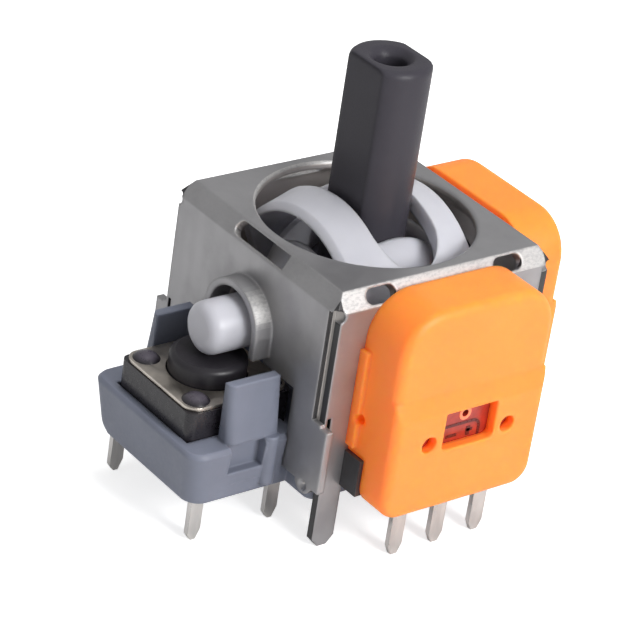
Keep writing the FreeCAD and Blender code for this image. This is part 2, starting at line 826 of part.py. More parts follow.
def sensor_cover():
    full = cover_depth + cover_chin
    chin_side = [
        (0, cover_bottom - 1),
        (0, chin_top),
        (cover_depth, chin_top),
        (full, chin_full),
        (full + 1, chin_full),
        (full + 1, cover_bottom - 1),
    ]
    below = prism([Vector(-9, out(d), z) for d, z in chin_side], Vector(18, 0, 0))
    outer = rounded_block(cover_depth).fuse(rounded_block(full).common(below))
    flange_half = cover_half_width + cover_flange_width
    flange = box(
        -flange_half, flange_half, out(cover_flange_depth), out(0), holder_foot_top + 0.4, cover_flange_top
    )
    outer = outer.fuse(flange)
    inner_depth = full - cover_wall
    inner_face = Part.Face(rounded_rectangle(
        -cover_half_width + cover_side_wall, cover_half_width - cover_side_wall,
        cover_bottom - 1, cover_top - cover_side_wall,
        cover_corner_top - cover_side_wall, 0.2, out(-1)
    ))
    inner = inner_face.extrude(Vector(0, -(inner_depth - cover_chin + 1), 0))
    lower_room = box(
        -cover_half_width + cover_side_wall, cover_half_width - cover_side_wall,
        out(inner_depth), out(0), cover_bottom - 1, chin_full - cover_chin
    )
    outer = outer.cut(inner).cut(lower_room)
    window_face = Part.Face(rounded_rectangle(
        -window_half_width, window_half_width, window_bottom, window_top, 0.08, window_round, out(full + 1)
    ))
    outer = outer.cut(window_face.extrude(Vector(0, full, 0)))
    for side in (-1, 1):
        start = Vector(side * peep_offset, out(full + 1), peep_height)
        outer = outer.cut(cylinder(peep_radius, start, axis_y, 2))
        wall_x = side * (cover_half_width + 1)
        notch_y = out(cover_flange_depth)
        outer = outer.cut(cylinder(side_notch_size / 2, Vector(wall_x, notch_y, side_notch_height),
                                   Vector(-side, 0, 0), 1.8))
        block_x = [side * (cover_half_width - 1.2), side * (cover_half_width + 1)]
        block_top = holder_foot_top + holder_fit
        outer = outer.cut(box(
            min(block_x), max(block_x), out(holder_depth + holder_fit), out(-0.1), -1, block_top
        ))
    return outer.removeSplitter()


def sensor_holder():
    """Dark carrier between the frame and the cover: bearing for the rotor, seat for the board."""
    inside = cover_side_wall + holder_fit
    half = cover_half_width - inside
    floor = Part.Face(rounded_rectangle(
        -half, half, cover_bottom + 0.2, cover_top - inside, cover_corner_top - inside, 0.3, out(0)
    )).extrude(Vector(0, -holder_depth, 0))
    foot_half = cover_half_width + cover_flange_width - 0.05
    foot = box(-foot_half, foot_half, out(holder_depth), out(0), holder_foot_bottom, holder_foot_top)
    body = floor.fuse(foot)
    for side in (-1, 1):
        peg_start = Vector(side * peg_offset, out(0.5), peg_height)
        body = body.fuse(cylinder(peg_radius, peg_start, axis_y, 0.5 + sheet))
    bearing = cylinder(rotor_radius + rotor_gap, Vector(0, out(holder_depth + 1), pivot_height), axis_y, 3)
    body = body.cut(bearing)
    for side in (-1, 1):
        rail_x = [side * (board_half_width - 0.5), side * board_half_width]
        body = body.fuse(box(
            min(rail_x), max(rail_x), out(board_inner()), out(holder_depth), board_bottom, board_top
        ))
    return body.removeSplitter()


def board_inner():
    """Distance from the frame to the board's inner face."""
    return cover_depth + cover_chin - cover_wall - holder_fit - board_thickness


def sensor_board():
    near = board_inner()
    top = chin_full - cover_chin - 0.05
    body = box(
        -board_half_width, board_half_width, out(near + board_thickness), out(near), board_bottom, top
    )
    via = cylinder(via_radius, Vector(0.1, out(near + 2), via_height), axis_y, 3)
    return body.cut(via)


def sensor_chip():
    near = board_inner()
    half = chip_width / 2
    chip_top = chin_full - cover_chin - 0.2
    return box(-half, half, out(near), out(near - chip_depth), chip_top - chip_height, chip_top)


def sensor_terminals():
    near = board_inner()
    pins = []
    half = terminal_width / 2
    for index in (-1, 0, 1):
        x = index * terminal_pitch
        points = [
            (x - half, terminal_top),
            (x - half, tip_height + terminal_point),
            (x - half * 0.45, tip_height),
            (x + half * 0.45, tip_height),
            (x + half, tip_height + terminal_point),
            (x + half, terminal_top),
        ]
        pins.append(prism([Vector(px, out(near), z) for px, z in points], Vector(0, terminal_thick, 0)))
    return Part.makeCompound(pins)


def sensor_rotor():
    """Turning magnet cup with a D shaped socket towards the yoke."""
    start = Vector(0, out(rotor_reach), pivot_height)
    body = cylinder(rotor_radius, start, axis_y, rotor_reach + rotor_inside)
    body = body.cut(cylinder(magnet_radius, start, axis_y, magnet_thickness))
    return body


def rotor_a():
    socket_end = half_frame + rotor_socket - rotor_inside
    socket = cylinder(journal_radius, Vector(0, -socket_end, pivot_height), axis_y, 3)
    socket = socket.cut(box(-9, 9, -9, 9, pivot_height + journal_flat, 30))
    return sensor_rotor().cut(socket)


def rotor_b():
    """Rotor on the +X side, with a slot for the tongue of the lower yoke."""
    body = turned(sensor_rotor(), 90)
    half = tongue_half_thickness + tongue_gap
    half_height = tongue_radius + tongue_gap
    round_end = cylinder(half_height, Vector(press_pivot_x, -half, pivot_height), axis_y, 2 * half)
    way_half = half_height + 0.14
    way_in = box(0, press_pivot_x, -half, half, pivot_height - way_half, pivot_height + way_half)
    return body.cut(round_end.fuse(way_in))


def magnet():
    start = Vector(0, out(rotor_reach), pivot_height)
    return cylinder(magnet_radius, start, axis_y, magnet_thickness)


def nodes():
    parts = {
        "frame": frame(),
        "base": base(),
        "stick": stick(),
        "hinge_pin": hinge_pin(),
        "upper_yoke": upper_yoke(),
        "lower_yoke": lower_yoke(),
        "centering_disc": centering_disc(),
        "spring": spring(),
        "switch_body": switch_body(),
        "switch_cover": switch_cover(),
        "switch_plunger": switch_plunger(),
        "switch_dome": switch_dome(),
        "switch_pins": switch_pins(),
        "rotor_a": rotor_a(),
        "rotor_b": rotor_b(),
        "magnet_a": magnet(),
        "magnet_b": turned(magnet(), 90),
    }
    sides = {"a": 0, "b": 90}
    for side, angle in sides.items():
        parts["sensor_" + side + "_cover"] = turned(sensor_cover(), angle)
        parts["sensor_" + side + "_holder"] = turned(sensor_holder(), angle)
        parts["sensor_" + side + "_board"] = turned(sensor_board(), angle)
        parts["sensor_" + side + "_chip"] = turned(sensor_chip(), angle)
        parts["sensor_" + side + "_terminals"] = turned(sensor_terminals(), angle)
    return parts


os.makedirs("parts", exist_ok=True)
for name, shape in nodes().items():
    shape.exportStep("parts/" + name + ".step")
    print(name, len(shape.Solids), "valid" if shape.isValid() else "INVALID", round(shape.Volume, 2))
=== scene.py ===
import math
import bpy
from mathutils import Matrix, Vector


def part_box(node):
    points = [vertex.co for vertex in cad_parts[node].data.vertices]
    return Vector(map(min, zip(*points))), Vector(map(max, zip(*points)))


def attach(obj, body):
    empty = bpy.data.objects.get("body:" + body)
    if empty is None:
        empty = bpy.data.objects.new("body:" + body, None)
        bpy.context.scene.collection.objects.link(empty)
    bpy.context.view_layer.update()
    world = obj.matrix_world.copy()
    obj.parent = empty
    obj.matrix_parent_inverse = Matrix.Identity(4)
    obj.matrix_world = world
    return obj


bl_info = {
    "name": "Thumbstick module",
    "version": (1, 0, 0),
    "blender": (4, 5, 0),
    "location": "View3D > Sidebar > Thumbstick",
    "description": "Finishes, small parts and studio stage for a two-axis thumbstick module",
    "category": "Object",
}

import bmesh
import bpy
from bpy.props import FloatProperty, FloatVectorProperty, IntProperty, PointerProperty
from mathutils import Matrix, Vector

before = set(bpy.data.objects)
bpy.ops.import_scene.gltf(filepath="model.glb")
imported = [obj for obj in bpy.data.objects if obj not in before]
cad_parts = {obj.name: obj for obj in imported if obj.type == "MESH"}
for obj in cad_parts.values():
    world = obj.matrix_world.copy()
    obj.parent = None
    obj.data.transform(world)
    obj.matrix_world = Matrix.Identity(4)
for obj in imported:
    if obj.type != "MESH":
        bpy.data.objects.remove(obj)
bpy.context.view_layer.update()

mm = 0.001
image_pixels = 640
sensor_width = 36.0
frame_low, frame_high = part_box("frame")
top_height = frame_high.z
floor_height = frame_low.z
frame_half = 6.5 * mm
sheet = 0.4 * mm
switch_plate_top = 4.5 * mm


def colour(name, description, value):
    return FloatVectorProperty(
        name=name, description=description, subtype="COLOR", size=3, min=0.0, max=1.0, default=value
    )


def length(name, description, value):
    return FloatProperty(
        name=name, description=description, subtype="DISTANCE", unit="LENGTH", min=0.0, default=value
    )


def amount(name, description, value, high=1.0):
    return FloatProperty(
        name=name, description=description, subtype="FACTOR", min=0.0, max=high, default=value
    )


class ThumbstickColours(bpy.types.PropertyGroup):
    steel: colour("Steel", "Sheet of the frame", (0.36, 0.355, 0.365))
    # Painted highlight: this lighter steel goes on the lit bends and along the edges of the frame.
    steel_highlight: colour("Bright steel", "Worn bends of the sheet", (0.60, 0.59, 0.58))
    # Painted light: the sheet inside the frame is given this lighter colour.
    inner_wall_light: colour("Inner wall", "Sheet inside the frame", (0.62, 0.58, 0.55))
    orange: colour("Orange", "Sensor covers", (1.0, 0.305, 0.048))
    white: colour("White", "Yokes and nub", (0.53, 0.53, 0.575))
    stem: colour("Stem", "Dark grey stem", (0.042, 0.039, 0.049))
    base: colour("Base", "Grey base moulding", (0.185, 0.200, 0.255))
    carrier: colour("Carrier", "Dark sensor carriers", (0.045, 0.045, 0.05))
    black: colour("Black", "Switch body and plunger", (0.017, 0.015, 0.019))
    plate: colour("Switch plate", "Stamped cover of the switch", (0.62, 0.57, 0.51))
    # Painted highlight: lighter colour for the rim of the switch plate.
    plate_rim_highlight: colour("Plate rim", "Sheared rim of the switch plate", (0.88, 0.82, 0.74))
    solder_mask: colour("Solder mask", "Red of the sensor boards", (0.36, 0.030, 0.018))
    trace: colour("Trace", "Dark lines on the boards", (0.10, 0.012, 0.012))
    ring: colour("Ring", "Ring about the board's hole", (0.95, 0.25, 0.12))
    tin: colour("Tin", "Plating of the terminals", (0.66, 0.64, 0.62))


class ThumbstickSizes(bpy.types.PropertyGroup):
    plastic_edge: length("Plastic edge", "Rounding of moulded edges", 0.07 * mm)
    cover_edge: length("Cover edge", "Rounding of the sensor covers' edges", 0.11 * mm)
    tray_edge: length("Tray edge", "Rounding of the base moulding's edges", 0.10 * mm)
    steel_edge: length("Steel edge", "Rounding of sheared edges", 0.035 * mm)
    trace_width: length("Trace width", "Width of the lines on a sensor board", 0.16 * mm)
    trace_rise: length("Trace rise", "Height of the lines over a sensor board", 0.02 * mm)
    ring_outer: length("Ring outer", "Outer radius of the ring about the board's hole", 0.36 * mm)
    ring_inner: length("Ring inner", "Inner radius of that ring", 0.19 * mm)
    edge_steps: IntProperty(
        name="Edge steps", description="Segments in a rounded edge", min=1, max=6, default=3
    )


class ThumbstickStage(bpy.types.PropertyGroup):
    azimuth: FloatProperty(
        name="Azimuth", description="Camera's turn about the stem", subtype="ANGLE",
        default=math.radians(-41.05)
    )
    elevation: FloatProperty(
        name="Elevation", description="Camera's height angle", subtype="ANGLE", default=math.radians(28.92)
    )
    roll: FloatProperty(name="Roll", description="Camera's roll", subtype="ANGLE", default=math.radians(8.92))
    distance: length("Distance", "From the camera to the aimed plane", 143.74 * mm)
    focal_pixels: FloatProperty(
        name="Focal length", description="In pixels of the square picture", min=1.0, default=3000.0
    )
    aim_across: FloatProperty(
        name="Aim across", description="Aim beside the frame's top centre", unit="LENGTH", default=-2.23 * mm
    )
    aim_up: FloatProperty(
        name="Aim up", description="Aim above the frame's top centre", unit="LENGTH", default=-5.16 * mm
    )
    key_power: amount("Key", "Power of the main lamp in watts", 0.15, 10.0)
    fill_power: amount("Fill", "Power of the fill lamp in watts", 0.014, 10.0)
    top_power: amount("Top", "Power of the overhead lamp in watts", 0.10, 10.0)
    sky: amount("Sky", "Strength of the surrounding light", 0.42, 5.0)
    reflected_sky: amount("Reflected sky", "Strength of the surroundings in reflections", 0.56, 5.0)


def colours():
    return bpy.context.scene.thumbstick_colours


def sizes():
    return bpy.context.scene.thumbstick_sizes


def stage_settings():
    return bpy.context.scene.thumbstick_stage


class Finish:
    """One procedural material. Its helpers add nodes and return the socket that carries the result."""

    def __init__(self, name, roughness, metallic=0.0):
        self.material = bpy.data.materials.new(name)
        self.material.use_nodes = True
        tree = self.material.node_tree
        self.nodes = tree.nodes
        self.links = tree.links
        self.nodes.clear()
        self.shader = self.nodes.new("ShaderNodeBsdfPrincipled")
        output = self.nodes.new("ShaderNodeOutputMaterial")
        self.links.new(self.shader.outputs[0], output.inputs[0])
        self.shader.inputs["Roughness"].default_value = roughness
        self.shader.inputs["Metallic"].default_value = metallic
        self.place = self.nodes.new("ShaderNodeTexCoord").outputs["Object"]

    def stretched(self, x, y, z):
        """Object position, stretched for brushed or drawn marks."""
        mapping = self.nodes.new("ShaderNodeMapping")
        mapping.inputs["Scale"].default_value = (x, y, z)
        self.links.new(self.place, mapping.inputs["Vector"])
        return mapping.outputs[0]

    def grain(self, grain_size, detail=4.0, place=None, rough=0.55):
        """Noise whose grains are about this many metres across."""
        noise = self.nodes.new("ShaderNodeTexNoise")
        noise.inputs["Scale"].default_value = 1.0 / grain_size
        noise.inputs["Detail"].default_value = detail
        noise.inputs["Roughness"].default_value = rough
        self.links.new(place or self.place, noise.inputs["Vector"])
        return noise.outputs["Fac"]

    def parts_of(self, output):
        """X, Y and Z of a geometry output, such as Position or True Normal."""
        geometry = self.nodes.new("ShaderNodeNewGeometry")
        split = self.nodes.new("ShaderNodeSeparateXYZ")
        self.links.new(geometry.outputs[output], split.inputs[0])
        return split.outputs

    def size_of(self, value):
        return self.math("ABSOLUTE", value, 0.0)

    def below(self, value, low, high):
        """1 under low, 0 over high."""
        return self.span(value, low, high, 1.0, 0.0)

    def above(self, value, low, high):
        """0 under low, 1 over high."""
        return self.span(value, low, high, 0.0, 1.0)

    def all_of(self, first, *others):
        """Masks multiplied together."""
        for other in others:
            first = self.math("MULTIPLY", first, other)
        return first

    def span(self, value, from_low, from_high, to_low, to_high):
        node = self.nodes.new("ShaderNodeMapRange")
        for name, number in (
            ("From Min", from_low), ("From Max", from_high), ("To Min", to_low), ("To Max", to_high)
        ):
            node.inputs[name].default_value = number
        self.links.new(value, node.inputs["Value"])
        return node.outputs[0]

    def math(self, operation, first, second):
        node = self.nodes.new("ShaderNodeMath")
        node.operation = operation
        node.use_clamp = True
        for socket, value in zip(node.inputs, (first, second)):
            if isinstance(value, (int, float)):
                socket.default_value = value
            else:
                self.links.new(value, socket)
        return node.outputs[0]

    def mix(self, factor, first, second):
        node = self.nodes.new("ShaderNodeMix")
        node.data_type = "RGBA"
        self.links.new(factor, node.inputs["Factor"])
        for socket, value in ((node.inputs[6], first), (node.inputs[7], second)):
            if hasattr(value, "is_linked"):
                self.links.new(value, socket)
            else:
                socket.default_value = (*value, 1.0)
        return node.outputs[2]

    def edges(self, radius, low=0.02, high=0.22):
        """1 near convex and concave edges, 0 on flats."""
        bevel = self.nodes.new("ShaderNodeBevel")
        bevel.samples = 6
        bevel.inputs["Radius"].default_value = radius
        geometry = self.nodes.new("ShaderNodeNewGeometry")
        dot = self.nodes.new("ShaderNodeVectorMath")
        dot.operation = "DOT_PRODUCT"
        self.links.new(bevel.outputs[0], dot.inputs[0])
        self.links.new(geometry.outputs["True Normal"], dot.inputs[1])
        turned = self.math("SUBTRACT", 1.0, dot.outputs["Value"])
        return self.span(turned, low, high, 0.0, 1.0)

    def set(self, name, value):
        socket = self.shader.inputs[name]
        if hasattr(value, "is_linked"):
            self.links.new(value, socket)
        elif hasattr(value, "__len__") and len(value) == 3 and len(socket.default_value) == 4:
            socket.default_value = (*value, 1.0)
        else:
            socket.default_value = value

    def set_body(self, socket):
        """Links the base colour and keeps its socket, so that a later layer can start from it."""
        self.body = socket
        self.set("Base Color", socket)

    def bump(self, height, strength, depth, soft=0.0):
        """Fine relief. With a soft radius the shading also rolls over creases, as on a moulded edge."""
        node = self.nodes.new("ShaderNodeBump")
        if soft > 0.0:
            rolled = self.nodes.new("ShaderNodeBevel")
            rolled.samples = 6
            rolled.inputs["Radius"].default_value = soft
            self.links.new(rolled.outputs[0], node.inputs["Normal"])
        node.inputs["Strength"].default_value = strength
        node.inputs["Distance"].default_value = depth
        self.links.new(height, node.inputs["Height"])
        self.links.new(node.outputs[0], self.shader.inputs["Normal"])


def shade(value, factor):
    return tuple(min(1.0, channel * factor) for channel in value)


def cut_ends(finish, place, normal):
    """1 on the sheared ends of the sheet at the frame's upright corners, where painted shade goes."""
    far_x = finish.size_of(place["X"])
    far_y = finish.size_of(place["Y"])
    side_x = finish.above(finish.size_of(normal["X"]), 0.65, 0.75)
    side_y = finish.above(finish.size_of(normal["Y"]), 0.65, 0.75)
    behind = (frame_half - 0.08 * mm, frame_half - 0.04 * mm)
    inner_face = frame_half - sheet
    past = (inner_face - 0.02 * mm, inner_face + 0.02 * mm)
    near_corner = finish.above(far_y, 4.4 * mm, 4.6 * mm)
    cut_x = finish.all_of(side_x, finish.below(far_x, *behind), finish.above(far_y, *past))
    cut_y = finish.all_of(side_y, finish.below(far_y, *behind), finish.above(far_x, *past), near_corner)
    return finish.math("MAXIMUM", cut_x, cut_y)


def lit_bends(finish, normal):
    """1 on the bends of the lit sides, where a streaky highlight is painted."""
    rising = finish.above(normal["Z"], 0.25, 0.42)
    not_flat = finish.below(normal["Z"], 0.86, 0.97)
    sunny = finish.span(finish.math("SUBTRACT", normal["X"], normal["Y"]), 0.2, 0.5, 0.12, 1.0)
    streaks = finish.grain(0.10 * mm, 3.0, finish.stretched(0.45, 0.45, 1.0), 0.65)
    return finish.all_of(rising, not_flat, sunny, finish.span(streaks, 0.36, 0.56, 0.40, 1.0))


def sheet_steel():
    """Cold-rolled sheet: cloudy greys and rolling marks, a painted highlight with streaks on the bends of the
    two lit sides and a speckled one along the edges, painted light on the inner walls and painted shade on
    the dark cut ends.
    """
    finish = Finish("sheet_steel", 0.34, 0.72)
    c = colours()
    clouds = finish.grain(2.6 * mm, 5.0)
    smooth = finish.grain(5.5 * mm, 2.0)
    rolled = finish.grain(0.5 * mm, 3.0, finish.stretched(1.0, 1.0, 0.12))
    body = finish.mix(finish.above(clouds, 0.35, 0.68), shade(c.steel, 0.86), shade(c.steel, 1.14))
    body = finish.mix(finish.above(smooth, 0.4, 0.62), body, shade(c.steel, 1.04))
    place = finish.parts_of("Position")
    normal = finish.parts_of("True Normal")
    farthest = finish.math("MAXIMUM", finish.size_of(place["X"]), finish.size_of(place["Y"]))
    wall_middle = frame_half - sheet / 2
    in_frame = finish.below(farthest, wall_middle, wall_middle + 0.08 * mm)
    inside = finish.all_of(in_frame, finish.below(normal["Z"], 0.20, 0.25))
    # Painted light: the inner walls of the frame are lighter than the outer sheet.
    body = finish.mix(inside, body, tuple(c.inner_wall_light))
    speckle = finish.grain(0.07 * mm, 2.0)
    # Painted highlight: a speckled lighter band along every edge of the sheet.
    rim = finish.all_of(finish.edges(0.07 * mm), finish.span(speckle, 0.40, 0.58, 0.15, 0.8))
    bend_and_edge_highlight = finish.math("MAXIMUM", lit_bends(finish, normal), rim)
    # Painted highlight: the lit bends and the edges take the lighter steel.
    coat = finish.mix(bend_and_edge_highlight, body, tuple(c.steel_highlight))
    # Painted shade: the cut ends at the corners are nearly black.
    finish.set("Base Color", finish.mix(cut_ends(finish, place, normal), coat, shade(c.steel, 0.20)))
    dull = finish.span(rolled, 0.3, 0.7, 0.32, 0.44)
    finish.set("Roughness", finish.math("ADD", dull, finish.math("MULTIPLY", bend_and_edge_highlight, 0.14)))
    marks = finish.math("ADD", finish.math("MULTIPLY", rolled, 0.35), finish.math("MULTIPLY", speckle, bend_and_edge_highlight))
    finish.bump(marks, 0.30, 0.015 * mm, 0.20 * mm)
    return finish.material


def moulded(
    name, value, roughness, grain_size=0.09 * mm, depth=0.006 * mm, cloud=0.10, edge=0.0, soft=0.0
):
    """Moulded plastic with faint flow clouds and a fine eroded grain. Edges may carry a painted highlight,
    and their shading may be soft.
    """
    finish = Finish(name, roughness)
    flow = finish.grain(3.2 * mm, 3.0)
    body = finish.mix(finish.above(flow, 0.3, 0.7), shade(value, 1.0 - cloud), shade(value, 1.0 + cloud))
    if edge > 0.0:
        # Painted highlight: the edges turn lighter by the edge amount.
        body = finish.mix(finish.math("MULTIPLY", finish.edges(0.16 * mm), edge), body, shade(value, 1.9))
    finish.set_body(body)
    fine = finish.grain(grain_size, 3.0)
    finish.set("Roughness", finish.span(fine, 0.3, 0.7, roughness - 0.06, roughness + 0.06))
    finish.bump(fine, 0.5, depth, soft)
    return finish


def translucent(finish, weight, radius, scale):
    finish.set("Subsurface Weight", weight)
    finish.set("Subsurface Radius", radius)
    finish.set("Subsurface Scale", scale)


def orange_plastic():
    """Soft orange moulding. Its small red emission stands for light that comes through the walls."""
    finish = moulded(
        "orange_plastic", colours().orange, 0.45, grain_size=0.07 * mm, depth=0.004 * mm, cloud=0.04,
        soft=0.28 * mm
    )
    translucent(finish, 0.9, (1.0, 0.25, 0.05), 1.5 * mm)
    finish.set("Emission Color", (1.0, 0.05, 0.0, 1.0))
    finish.set("Emission Strength", 0.28)
    return finish.material


def white_acetal():
    """Milky moulding of the two yokes."""
    finish = moulded(
        "white_acetal", colours().white, 0.34, grain_size=0.22 * mm, depth=0.005 * mm, cloud=0.035,
        soft=0.16 * mm
    )
    translucent(finish, 0.55, (1.0, 0.95, 0.9), 1.1 * mm)
    return finish.material


def grey_base_plastic():
    # Its edge amount paints a highlight along the base's edges.
    finish = moulded(
        "grey_base_plastic", colours().base, 0.46, grain_size=0.2 * mm, cloud=0.08, edge=0.30,
        soft=0.2 * mm
    )
    translucent(finish, 0.25, (0.9, 1.0, 1.1), 0.35 * mm)
    return finish.material


def stem_plastic():
    # Its edge amount paints a highlight along the stem's edges.
    finish = moulded(
        "stem_plastic", colours().stem, 0.40, grain_size=0.10 * mm, depth=0.005 * mm, cloud=0.08,
        edge=0.10, soft=0.40 * mm
    )
    finish.set("Specular IOR Level", 0.28)
    return finish.material


def switch_body_plastic():
    """Black body whose melted rivet heads are painted lighter, as a highlight."""
    value = colours().black
    finish = moulded(
        "switch_body_plastic", value, 0.30, grain_size=0.25 * mm, depth=0.002 * mm, cloud=0.06
    )
    height = finish.parts_of("Position")["Z"]
    # Painted highlight: the rivet heads above the plate are lighter.
    heads = finish.above(height, switch_plate_top + 0.04 * mm, switch_plate_top + 0.22 * mm)
    finish.set_body(finish.mix(heads, finish.body, shade(value, 4.0)))
    return finish.material


def plated(name, value, roughness):
    """Tinned or nickel metal: smooth faces, faint drawn marks and painted shade along the edges."""
    finish = Finish(name, roughness, 1.0)
    drawn = finish.grain(0.45 * mm, 3.0, finish.stretched(1.0, 1.0, 0.2))
    body = finish.mix(finish.above(drawn, 0.35, 0.65), shade(value, 0.93), shade(value, 1.08))
    # Painted shade: edges and creases are darkened.
    edge = finish.math("MULTIPLY", finish.edges(0.06 * mm), 0.8)
    finish.set("Base Color", finish.mix(edge, body, shade(value, 0.20)))
    finish.set("Roughness", finish.span(drawn, 0.3, 0.7, roughness - 0.05, roughness + 0.07))
    finish.bump(drawn, 0.12, 0.003 * mm)
    return finish.material


def switch_plate_steel():
    """Stamped plate, brownish in reflection, with a painted highlight along its rim."""
    finish = Finish("switch_plate_steel", 0.38, 1.0)
    value = tuple(colours().plate)
    smear = finish.grain(1.1 * mm, 4.0)
    body = finish.mix(finish.above(smear, 0.3, 0.7), shade(value, 0.8), shade(value, 1.25))
    # Painted highlight: the rim of the plate is lighter.
    rim = finish.edges(0.06 * mm)
    finish.set("Base Color", finish.mix(rim, body, tuple(colours().plate_rim_highlight)))
    finish.set("Roughness", finish.span(smear, 0.3, 0.7, 0.30, 0.46))
    finish.bump(finish.grain(0.15 * mm, 2.0), 0.3, 0.004 * mm)
    return finish.material


def coated_board():
    """Glossy solder mask over glass cloth."""
    finish = Finish("coated_board", 0.28)
    value = tuple(colours().solder_mask)
    weave = finish.grain(0.35 * mm, 2.0)
    body = finish.mix(finish.above(weave, 0.3, 0.7), shade(value, 0.82), shade(value, 1.18))
    finish.set("Base Color", body)
    finish.set("Coat Weight", 0.25)
    finish.set("Coat Roughness", 0.3)
    finish.bump(weave, 0.3, 0.01 * mm)
    return finish.material


def dress(nodes, material, edge_width):
    """Gives CAD nodes their finish, welds their faces together and gives their edges a small rounding."""
    for name in nodes:
        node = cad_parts[name]
        node.data.materials.clear()
        node.data.materials.append(material)
        weld = node.modifiers.new("join_faces", "WELD")
        weld.merge_threshold = 0.0005 * mm
        if edge_width > 0.0:
            bevel = node.modifiers.new("round_edges", "BEVEL")
            bevel.width = edge_width
            bevel.segments = sizes().edge_steps
            bevel.limit_method = "ANGLE"
            bevel.angle_limit = math.radians(32)
            bevel.harden_normals = False
            bevel.use_clamp_overlap = True


class THUMBSTICK_OT_frame(bpy.types.Operator):
    """Folded steel housing"""

    bl_idname = "thumbstick.frame"
    bl_label = "Steel frame"

    def execute(self, context):
        dress(["frame"], sheet_steel(), sizes().steel_edge)
        return {"FINISHED"}


class THUMBSTICK_OT_base(bpy.types.Operator):
    """Grey base moulding with the switch tray"""

    bl_idname = "thumbstick.base"
    bl_label = "Base"

    def execute(self, context):
        dress(["base"], grey_base_plastic(), sizes().tray_edge)
        return {"FINISHED"}


class THUMBSTICK_OT_stem(bpy.types.Operator):
    """Dark stem that carries the thumb cap"""

    bl_idname = "thumbstick.stem"
    bl_label = "Stem"

    def execute(self, context):
        dress(["stick"], stem_plastic(), sizes().plastic_edge)
        return {"FINISHED"}


class THUMBSTICK_OT_yokes(bpy.types.Operator):
    """White upper and lower yokes and the pin through the stem"""

    bl_idname = "thumbstick.yokes"
    bl_label = "Yokes"

    def execute(self, context):
        dress(["upper_yoke", "lower_yoke"], white_acetal(), sizes().plastic_edge)
        dress(["hinge_pin"], plated("pin_steel", tuple(colours().tin), 0.25), 0.0)
        return {"FINISHED"}


class THUMBSTICK_OT_return_spring(bpy.types.Operator):
    """Centering disc and its coil spring"""

    bl_idname = "thumbstick.return_spring"
    bl_label = "Return spring"

    def execute(self, context):
        disc = moulded("disc_plastic", colours().black, 0.36)
        dress(["centering_disc"], disc.material, 0.0)
        dress(["spring"], plated("spring_steel", tuple(colours().tin), 0.3), 0.0)
        return {"FINISHED"}


class THUMBSTICK_OT_switch(bpy.types.Operator):
    """Push switch in its tray"""

    bl_idname = "thumbstick.switch"
    bl_label = "Push switch"

    def execute(self, context):
        plunger = moulded("plunger_plastic", colours().black, 0.42, 0.10 * mm, 0.003 * mm, 0.10)
        dress(["switch_body"], switch_body_plastic(), sizes().plastic_edge)
        dress(["switch_plunger"], plunger.material, sizes().plastic_edge)
        dress(["switch_cover"], switch_plate_steel(), sizes().steel_edge)
        dress(["switch_dome"], plated("dome_steel", tuple(colours().tin), 0.25), 0.0)
        return {"FINISHED"}


class THUMBSTICK_OT_covers(bpy.types.Operator):
    """Orange covers over the two angle sensors"""

    bl_idname = "thumbstick.covers"
    bl_label = "Sensor covers"

    def execute(self, context):
        dress(["sensor_a_cover", "sensor_b_cover"], orange_plastic(), sizes().cover_edge)
        return {"FINISHED"}


class THUMBSTICK_OT_carriers(bpy.types.Operator):
    """Dark carriers, magnet cups and magnets of the angle sensors"""

    bl_idname = "thumbstick.carriers"
    bl_label = "Sensor carriers"

    def execute(self, context):
        dark = moulded("carrier_plastic", colours().carrier, 0.5)
        dress(["sensor_a_holder", "sensor_b_holder", "rotor_a", "rotor_b"], dark.material, sizes().steel_edge)
        dress(["magnet_a", "magnet_b"], plated("magnet_nickel", tuple(colours().tin), 0.2), 0.0)
        return {"FINISHED"}


def ring_face(mesh, centre, outer, inner, rise, steps=32):
    """Flat ring with a small height, in the mesh's XZ plane, facing -Y."""
    loops = []
    for radius, lift in ((outer, 0.0), (outer, rise), (inner, rise), (inner, 0.0)):
        loop = []
        for step in range(steps):
            angle = 2 * math.pi * step / steps
            point = centre + Vector((radius * math.cos(angle), -lift, radius * math.sin(angle)))
            loop.append(mesh.verts.new(point))
        loops.append(loop)
    for low, high in zip(loops, loops[1:]):
        for step in range(steps):
            following = (step + 1) % steps
            mesh.faces.new((low[step], low[following], high[following], high[step]))


def ribbon(mesh, points, width, rise):
    """Raised line through points (x, z) in front of the mesh's plane y = 0."""
    half = width / 2
    rails = []
    for index, point in enumerate(points):
        before = points[max(index - 1, 0)]
        after = points[min(index + 1, len(points) - 1)]
        along = Vector((after[0] - before[0], after[1] - before[1])).normalized()
        across = Vector((-along.y, along.x)) * half
        section = []
        for side, lift in ((-1, 0.0), (-1, rise), (1, rise), (1, 0.0)):
            section.append(mesh.verts.new((point[0] + side * across.x, -lift, point[1] + side * across.y)))
        rails.append(section)
    for first, second in zip(rails, rails[1:]):
        for corner in range(3):
            mesh.faces.new((first[corner], first[corner + 1], second[corner + 1], second[corner]))
    mesh.faces.new(rails[0])
    mesh.faces.new(reversed(rails[-1]))


def arc_points(centre, radius, start, end, steps=8):
    points = []
    for step in range(steps + 1):
        angle = math.radians(start + (end - start) * step / steps)
        points.append((centre[0] + radius * math.cos(angle), centre[1] + radius * math.sin(angle)))
    return points


def finished_piece(name, mesh, material, body, turn):
    """Makes an object of a mesh and lets it ride on a body of the frame."""
    data = bpy.data.meshes.new(name)
    bmesh.ops.recalc_face_normals(mesh, faces=mesh.faces)
    mesh.to_mesh(data)
    mesh.free()
    data.transform(turn)
    data.materials.append(material)
    piece = bpy.data.objects.new(name, data)
    bpy.context.scene.collection.objects.link(piece)
    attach(piece, body)


